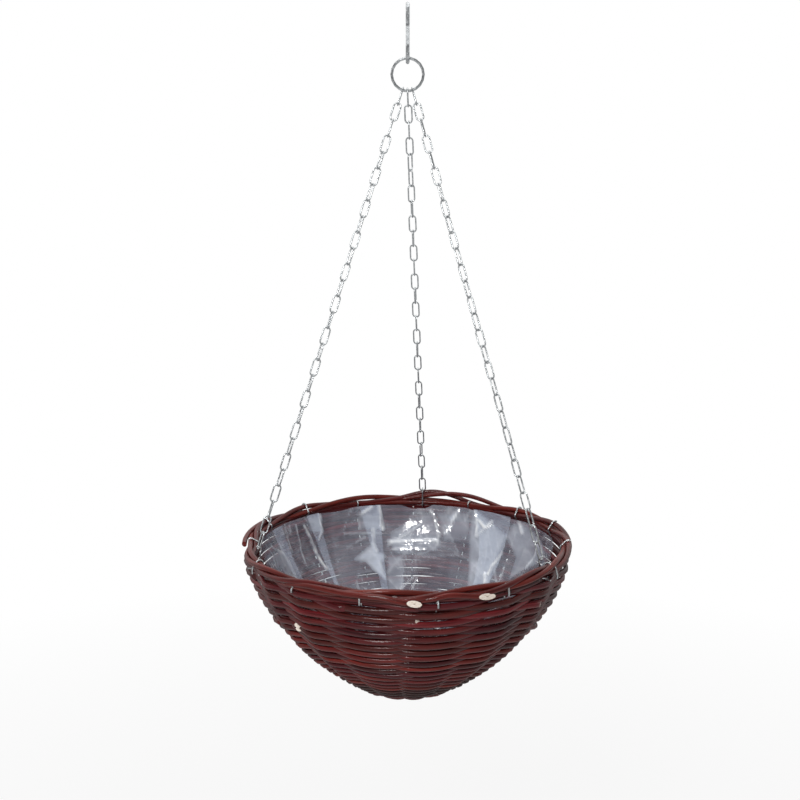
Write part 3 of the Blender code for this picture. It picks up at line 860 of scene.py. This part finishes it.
# Creases: how white, partly as painted highlight, how wide, and the points they run through, as
# degrees and share of the way up
liner_creases = (
    (0.5, 0.0016, (152, 1.0), (152, 0.94), (152.7, 0.857)),
    (0.8, 0.0012, (145.7, 0.973), (145.8, 0.903), (146.1, 0.835), (146.8, 0.779)),
    (1.0, 0.0022, (140.6, 0.956), (138.7, 0.884), (137.9, 0.812), (136.4, 0.75), (134.8, 0.717)),
    (0.9, 0.0014, (131, 1.0), (131, 0.972), (131.4, 0.905), (134.8, 0.868)),
    (1.0, 0.002, (102, 1.0), (101.5, 0.946), (100.9, 0.871)),
    (0.5, 0.0014, (111.2, 0.966), (111.7, 0.887)),
    (0.9, 0.0022, (111.2, 0.958), (108.5, 0.972), (105.5, 0.99)),
    (0.4, 0.0016, (120.1, 0.871), (102.1, 0.852)),
    (0.4, 0.0016, (120, 0.796), (114.4, 0.819), (109.7, 0.839)),
    (0.6, 0.0026, (105.3, 0.875), (106.1, 0.801), (105.1, 0.765)),
    (0.6, 0.0014, (93.7, 0.554), (85.8, 0.617)),
    (0.7, 0.0014, (86.9, 0.55), (83.8, 0.611)),
    (0.9, 0.0024, (98.7, 0.808), (92.9, 0.806), (85, 0.812), (75, 0.818)),
    (0.6, 0.0018, (98.7, 0.79), (90, 0.845), (83, 0.9)),
    (0.6, 0.0016, (97, 0.765), (88, 0.775), (80, 0.768)),
    (0.7, 0.0018, (79.2, 0.97), (77.5, 0.942), (74.7, 0.844), (74.1, 0.791)),
    (0.8, 0.002, (66.4, 0.981), (69.8, 0.896), (71.6, 0.859)),
    (0.9, 0.0018, (58.5, 0.995), (56.2, 0.911), (55.9, 0.866)),
    (1.0, 0.0018, (56.2, 0.952), (52, 0.914), (49.3, 0.954)),
    (0.6, 0.0018, (52, 0.914), (55.4, 0.866)),
    (0.4, 0.0014, (40, 0.902), (39.8, 0.819)),
    (1.0, 0.002, (39.8, 0.819), (42.3, 0.741), (42.4, 0.693)),
    (0.9, 0.002, (44.1, 0.688), (41.4, 0.643)),
    (0.7, 0.003, (35, 0.991), (31.6, 0.946)),
    (0.5, 0.0016, (166, 0.93), (160, 0.87), (158, 0.8)),
    (0.4, 0.0014, (172, 0.98), (168, 0.9), (170, 0.84)),
    (0.7, 0.0016, (20, 0.97), (18, 0.88), (21, 0.8)),
    (0.6, 0.0016, (205, 0.95), (208, 0.85), (204, 0.74)),
    (0.7, 0.0018, (238, 0.98), (234, 0.9), (237, 0.8), (236, 0.7)),
    (0.8, 0.0016, (262, 0.97), (266, 0.88), (263, 0.76)),
    (0.6, 0.0018, (290, 0.94), (293, 0.86), (288, 0.78), (289, 0.66)),
    (0.7, 0.0016, (338, 0.96), (335, 0.88), (339, 0.8)),
)
# Milky areas, partly painted reflection: how milky, and their corners
liner_clouds = (
    (0.8, (139.2, 0.991), (130.4, 0.99), (131.6, 0.901), (138.5, 0.923)),
    (0.7, (111, 0.955), (107.6, 0.989), (102.3, 0.99), (101.9, 0.877), (111.2, 0.887)),
    (1.7, (117.3, 0.731), (109.9, 0.772), (106.1, 0.801), (104.6, 0.751), (101.2, 0.734),
     (103.6, 0.698), (102.4, 0.611), (108.5, 0.67), (111.8, 0.717)),
    (0.9, (98.7, 0.808), (95.6, 0.859), (87.4, 0.899), (87.1, 0.745), (95.1, 0.751)),
    (0.6, (92.8, 0.884), (79.5, 0.953), (74.7, 0.844), (74.4, 0.767), (93.1, 0.76)),
    (1.4, (65.9, 0.987), (70.7, 0.942), (70.5, 0.909), (68, 0.928)),
    (1.0, (52.1, 0.6), (58.8, 0.834), (59.8, 0.991), (56.4, 0.981), (51.3, 0.951), (40.5, 0.911),
     (41.8, 0.809), (42.7, 0.714), (39.4, 0.651)),
    (0.9, (37.5, 0.974), (28.9, 0.989), (13.6, 0.937), (10.4, 0.894), (24.3, 0.759), (28.4, 0.702),
     (30.9, 0.821), (40.3, 0.901)),
    (0.6, (99.2, 0.727), (101.3, 0.548), (91.4, 0.544), (92.1, 0.725)),
    (0.5, (75.5, 0.956), (61.5, 0.972), (59.3, 0.833), (71.2, 0.827)),
    (0.4, (184, 0.957), (152, 0.851), (151.9, 0.731), (170.8, 0.816)),
    (0.7, (215, 0.95), (232, 0.97), (229, 0.8), (218, 0.76)),
    (0.8, (270, 0.98), (286, 0.94), (283, 0.74), (273, 0.8)),
    (0.6, (322, 0.97), (336, 0.95), (330, 0.78)),
)
crease_core = 1.4
cloud_fade = 0.005
liner_layer = 0.0016
# Radius at which the creases' degrees are turned into lengths
liner_reach = 0.15
clip_angles = (83, 203, 323)


def lattice(angle, along, cells, height, amount, seed):
    """Crumple a surface into flat facets; give the rise and how near a crease is."""
    draw = np.random.default_rng(seed)
    rows = lattice_rows
    warp = draw.uniform(0, math.tau, 4)
    bend = np.sin(along * 31 + warp[0] + 3 * np.sin(3 * angle + warp[1]))
    across = angle * cells / math.tau + lattice_wander * bend
    down = along / height + lattice_wander * np.sin(cells / 5 * 0.9 * angle + warp[2])
    down = down + 0.2 * np.sin(7 * angle + warp[3]) + 2
    column = np.floor(across).astype(int)
    row = np.clip(np.floor(down).astype(int), 0, rows - 2)
    share_x, share_y = across - column, np.clip(down - row, 0, 1)
    column %= cells
    after = (column + 1) % cells
    rise = draw.uniform(0, amount, (cells, rows))
    flip = draw.random((cells, rows)) < 0.5
    keen = draw.random((cells, rows)) ** 3
    a, b = rise[column, row], rise[after, row]
    c, d = rise[column, row + 1], rise[after, row + 1]
    leans = flip[column, row]
    first = np.where(share_x + share_y < 1, a + (b - a) * share_x + (c - a) * share_y,
                     d + (c - d) * (1 - share_x) + (b - d) * (1 - share_y))
    second = np.where(share_x > share_y, a + (b - a) * share_x + (d - b) * share_y,
                      a + (d - c) * share_x + (c - a) * share_y)
    fold = np.where(leans, np.abs(share_x + share_y - 1), np.abs(share_x - share_y))
    edge = np.minimum(np.minimum(share_x, share_y), fold)
    return np.where(leans, first, second), np.exp(-edge / lattice_edge) * keen[column, row]


def line_distance(x, y, start, end):
    """Give the distance of places from a straight line between two points."""
    run_x, run_y = end[0] - start[0], end[1] - start[1]
    share = ((x - start[0]) * run_x + (y - start[1]) * run_y) / (run_x**2 + run_y**2)
    share = np.clip(share, 0, 1)
    return np.hypot(x - start[0] - share * run_x, y - start[1] - share * run_y)


def flat_places(points, full):
    """Turn degrees and shares of the way up into metres along the film."""
    return [(math.radians(degrees) * liner_reach, share * full) for degrees, share in points]


def marked(angle, along, full):
    """Give how near the film's places are to the drawn creases, whose whiteness is partly painted
    highlight, and how milky they are, partly as painted reflection.
    """
    x, y = angle % math.tau * liner_reach, along
    crease_and_highlight = np.zeros_like(x)
    # The drawn creases whiten the film, partly as painted highlight
    for white, wide, *points in liner_creases:
        places = flat_places(points, full)
        lines = zip(places, places[1:])
        away = np.min([line_distance(x, y, start, end) for start, end in lines], axis=0)
        crease_and_highlight = np.maximum(crease_and_highlight, white * np.clip(crease_core - away / wide, 0, 1))
    # Milky patches, partly painted reflection
    milky_and_reflection = np.zeros_like(x)
    for amount, *points in liner_clouds:
        places = flat_places(points, full)
        inside = np.zeros(x.shape, bool)
        away = np.full(x.shape, 1.0)
        for start, end in zip(places, places[1:] + places[:1]):
            away = np.minimum(away, line_distance(x, y, start, end))
            crosses = (start[1] > y) != (end[1] > y)
            at = start[0] + (y - start[1]) * (end[0] - start[0]) / ((end[1] - start[1]) or 1.0)
            inside ^= crosses & (x < at)
        depth = np.where(inside, away, -away)
        milky_and_reflection = np.maximum(milky_and_reflection, amount * np.clip(0.5 + depth / cloud_fade, 0, 1))
    return crease_and_highlight, milky_and_reflection


def liner_line():
    """Trace the liner's half profile from the middle of the base up to its edge."""
    top = distance_at_height(liner_top, liner_top_depth)
    pairs = []
    for step in range(liner_up_steps + 1):
        share = step / liner_up_steps
        deeper = max(0.0, share - liner_bend) / (1 - liner_bend)
        depth = liner_depth + (liner_top_depth - liner_depth) * deeper
        pairs.append(wall_point(outline_reach[-1] + (top - outline_reach[-1]) * share, depth))
    bottom = pairs[0]
    steps = liner_middle_steps
    return [Vector((bottom.x * step / steps, bottom.y)) for step in range(steps)] + pairs


def make_liner():
    """Lay a round sheet of film in the bowl, with its spare width in folded pleats."""
    line = np.array([tuple(pair) for pair in liner_line()])
    reach = np.concatenate(([0.0], np.cumsum(np.linalg.norm(np.diff(line, axis=0), axis=1))))
    heading = np.gradient(line, axis=0)
    heading /= np.linalg.norm(heading, axis=1)[:, None]
    full = reach[-1]
    ends = [start for start, _ in liner_pleats[1:]] + [liner_pleats[0][0] + 360]
    tall = np.linspace(0, 1, liner_rows + 1)[1:]
    columns = []
    for number, ((start, fold), finish) in enumerate(zip(liner_pleats, ends)):
        cut, width = math.radians(start), math.radians(finish - start)
        inside_first = number % 2 == 0
        for part, share in ((0, fold + liner_fold), (1, liner_fold), (2, 1 - fold)):
            steps = round((finish - start) * share / liner_column)
            for step in range(steps):
                columns.append((cut, width, fold, inside_first, part, step / steps))
    cut, width, fold, first, part, step = (np.array(value) for value in zip(*columns))
    top_angle = cut + width * np.choose(part, (fold * step, fold, fold + (1 - fold) * step))
    degrees = np.degrees(top_angle) % 360
    edge = sum(rise * np.sin(waves * top_angle + shift) for rise, waves, shift in edge_waves)
    for clip in clip_angles:
        away = np.abs((degrees - clip + 180) % 360 - 180)
        edge = edge - clip_dip * np.clip(clip_dip_core - away / clip_dip_slope, 0, 1)
    along = tall[:, None] * (full + edge)[None, :]
    radius = np.interp(along, reach, line[:, 0])
    height = np.interp(along, reach, line[:, 1])
    lean_r = np.interp(along, reach, -heading[:, 1])
    lean_z = np.interp(along, reach, heading[:, 0])
    spare = (along - radius) * width / 2
    turn = radius * width * fold
    end = radius * width
    place = np.choose(part, ((turn + spare) * step, turn + spare - spare * step,
                             turn + (end - turn) * step))
    depth_first = np.where(first, liner_layer, 0.0)
    depth_last = liner_layer - depth_first
    ramp_in = np.clip(1 - (turn - place) / fold_ramp, 0, 1)
    ramp_out = np.clip(1 - (place - turn - spare) / fold_ramp, 0, 1)
    on_fold = depth_first + (depth_last - depth_first) * step
    depth = np.choose(part, (depth_first * ramp_in, on_fold, depth_last * ramp_out))
    depth = depth * np.clip(spare / spare_ramp, 0, 1)
    angle = cut + place / np.maximum(radius, 1e-5)
    calm = np.clip(radius / calm_radius, 0, 1)
    rise, crease_and_highlight = np.zeros_like(angle), np.zeros_like(angle)
    for cells, tall_cell, amount, white, seed in liner_lattices:
        up, line_near = lattice(angle, along, cells, tall_cell, amount, seed)
        rise += up * calm
        # The facets' crease lines whiten the film, partly as painted highlight
        crease_and_highlight = np.maximum(crease_and_highlight, line_near * white)
    # Drawn creases, and milky patches that are partly painted reflection
    drawn, milky_and_reflection = marked(angle, along, full)
    crease_and_highlight = np.maximum(crease_and_highlight, drawn)
    depth = depth + rise + crease_rise * drawn
    depth = depth + at_degrees(side_swings, np.degrees(angle)) * calm
    wide, level = radius + lean_r * depth, rim_z + height + lean_z * depth
    count = len(columns)
    verts = np.stack((wide * np.cos(angle), wide * np.sin(angle), level), axis=2)
    verts = verts.reshape(-1, 3).tolist()
    middle = len(verts)
    verts.append((0.0, 0.0, rim_z + float(line[0, 1])))
    faces = [(middle, index, (index + 1) % count) for index in range(count)]
    faces += ring_faces(liner_rows, count)
    mesh = bpy.data.meshes.new("clear_film_liner")
    mesh.from_pydata(verts, [], faces)
    mesh.materials.append(film)
    # Whitening at creases is partly painted highlight; milkiness is partly painted reflection
    for name, values in (("crease_and_highlight", crease_and_highlight), ("milky_and_reflection", milky_and_reflection)):
        set_points(mesh, name, "FLOAT", "value", np.append(values, 0.0))
    liner = place_piece("clear_film_liner", mesh, "basket", ("clear_liner",))


make_liner()


# Chains


def link_mesh():
    """Bend one welded link: straight sides and round ends."""
    side = (link_width + chain_wire) / 2
    half = (link_length + chain_wire) / 2 - side
    points = []
    for end in (1, -1):
        for step in range(link_steps + 1):
            turn = math.pi * step / link_steps
            along = end * (half + side * math.sin(turn))
            points.append(Vector((end * side * math.cos(turn), along, 0)))
    guide = new_object("link", wire_curve("link", points, chain_wire, closed=True))
    bpy.context.view_layer.update()
    seen = guide.evaluated_get(bpy.context.evaluated_depsgraph_get())
    mesh = bpy.data.meshes.new_from_object(seen)
    bpy.data.objects.remove(guide, do_unlink=True)
    mesh.name = "chain_link"
    mesh.shade_smooth()
    mesh.materials.clear()
    mesh.materials.append(zinc)
    return mesh


def make_chain(side, shape, chance):
    """Hang the links one in the other, each on the body of its stretch."""
    groups = chain_groups[side]
    first = pivots[f"chain_{side}_fold_1"]
    last = pivots[f"chain_{side}_fold_4"]
    down = (last - first).normalized()
    across = Vector((0, 0, 1)).cross(Vector((down.x, down.y, 0))).normalized()
    facing = across.cross(-down)
    square = (math.atan2(facing.y, across.y) + math.pi / 2) % math.pi - math.pi / 2
    end = math.pi if groups[0] > 1 else 0
    half_link = (link_length - chain_wire) / 2
    pitch = link_length + touch_pull
    index = 0
    for stretch, count in enumerate(groups):
        if stretch:
            body = f"chain_{side}_{stretch}"
            node = f"chain_{side}_stretch_{stretch}"
            middle = pivots[f"chain_{side}_fold_{stretch}"] + down * (half_link - touch_gap)
        else:
            body = "basket"
            node = f"chain_{side}_top_link"
            middle = first - down * (half_link + chain_wire + (count - 1) * pitch)
        for step in range(count):
            share = min(max((index - groups[0]) / turn_over_links, 0), 1)
            angle = index * math.pi / 2 + square + (end - square) * share
            if stretch and step not in (0, count - 1):
                angle += chance.uniform(-link_jitter, link_jitter)
            wide = across * math.cos(angle) + facing * math.sin(angle)
            turn = Matrix((wide, -down, wide.cross(-down))).transposed().to_4x4()
            place = middle + down * (step * pitch)
            index += 1
            piece = place_piece(f"chain_{side}_link_{index:02d}", shape, body,
                                () if step else (node,))
            piece.matrix_world = Matrix.Translation(place) @ turn


link_chance = random.Random(link_seed)
link_shape = link_mesh()
for chain_side in chain_groups:
    make_chain(chain_side, link_shape, link_chance)


# Camera, light and floor

# Share of the floor's white that gloss shows
floor_in_gloss = 0.3
floor_half = 12
floor_drop = 0.75
floor_colour = (0.88, 0.88, 0.88, 1)
# Distances between which the floor's shadow fades out, and the least share of white
floor_fade = (0.3, 2.0)
floor_white = 0.8
# Lamps: place beside, before and above the rim's middle, size and power
lamps = {"key": ((-0.36, -1.3, 0.75), 0.28, 13), "top": ((-0.3, 0.1, 1.9), 1.4, 12)}
aim_drop = 0.03
world_light = 0.33
# Directions between which gloss starts to show white, as their share towards the back
white_behind = (-0.2, 0.4)


def soft_lamp(name, place, aim, size, power):
    data = bpy.data.lights.new(name, "AREA")
    data.shape = "DISK"
    data.size = size
    data.energy = power
    lamp = new_object(name, data)
    lamp.location = place
    lamp.rotation_euler = (Vector(aim) - Vector(place)).to_track_quat("-Z", "Y").to_euler()


def seen_directly(tree, in_gloss):
    """Tell rays that show the background from those that light; in_gloss is its share in gloss."""
    path = tree.nodes.new("ShaderNodeLightPath")
    gloss = combine(tree, "MULTIPLY", path.outputs["Is Glossy Ray"], in_gloss)
    seen = combine(tree, "MAXIMUM", path.outputs["Is Camera Ray"], gloss)
    return combine(tree, "MAXIMUM", seen, path.outputs["Is Transmission Ray"])


def make_floor():
    """Lay a white floor that keeps a faint shadow and runs into the background."""
    mesh = bpy.data.meshes.new("floor")
    shape = bmesh.new()
    bmesh.ops.create_grid(shape, x_segments=1, y_segments=1, size=floor_half)
    shape.to_mesh(mesh)
    shape.free()
    floor = new_object("floor", mesh)
    floor.location.z = rim_z - floor_drop
    made, tree, shader = new_material("floor")
    shader.inputs["Base Color"].default_value = floor_colour
    shader.inputs["Roughness"].default_value = 0.9
    shader.inputs["Specular IOR Level"].default_value = 0.2
    away = vector_length(tree, add_node(tree, "TexCoord", {}, "Object"))
    fade = spread(tree, away, floor_white, 1.0, *floor_fade)
    share = combine(tree, "MULTIPLY", seen_directly(tree, floor_in_gloss), fade)
    glow = add_node(tree, "Emission", {}, 0)
    surface = add_node(tree, "MixShader", {0: share, 1: shader.outputs[0], 2: glow}, 0)
    tree.links.new(surface, tree.nodes["Material Output"].inputs["Surface"])
    mesh.materials.append(made)


def make_studio():
    """Set the camera, the two lamps and a world that is white only where it is seen."""
    camera = new_object("camera", bpy.data.cameras.new("camera"))
    camera.data.lens = camera_lens
    camera.location = (camera_side, camera_away, rim_z + camera_above_rim)
    camera.rotation_euler = (math.pi / 2 - camera_pitch, 0, 0)
    bpy.context.scene.camera = camera
    bpy.context.scene.view_settings.view_transform = "Standard"
    aim = (0, 0, rim_z - aim_drop)
    for name, ((side, before, above), size, power) in lamps.items():
        soft_lamp(name, (side, before, rim_z + above), aim, size, power)
    world = bpy.data.worlds.new("studio")
    bpy.context.scene.world = world
    world.use_nodes = True
    tree = world.node_tree
    background = tree.nodes["Background"]
    background.inputs["Color"].default_value = (1, 1, 1, 1)
    direction = add_node(tree, "TexCoord", {}, "Generated")
    back = add_node(tree, "SeparateXYZ", {0: direction}, "Y")
    behind = spread(tree, back, 0.0, 1.0, *white_behind)
    level = spread(tree, seen_directly(tree, behind), world_light, 1.0, 0.0, 1.0)
    tree.links.new(level, background.inputs["Strength"])


make_floor()
make_studio()

clips = [f"rim_clip_{side}" for side in chain_groups]
for name in ("hanging_hook", "gathering_ring", "base_ring", *clips):
    materials = frame["nodes"][name].data.materials
    materials.clear()
    materials.append(zinc)
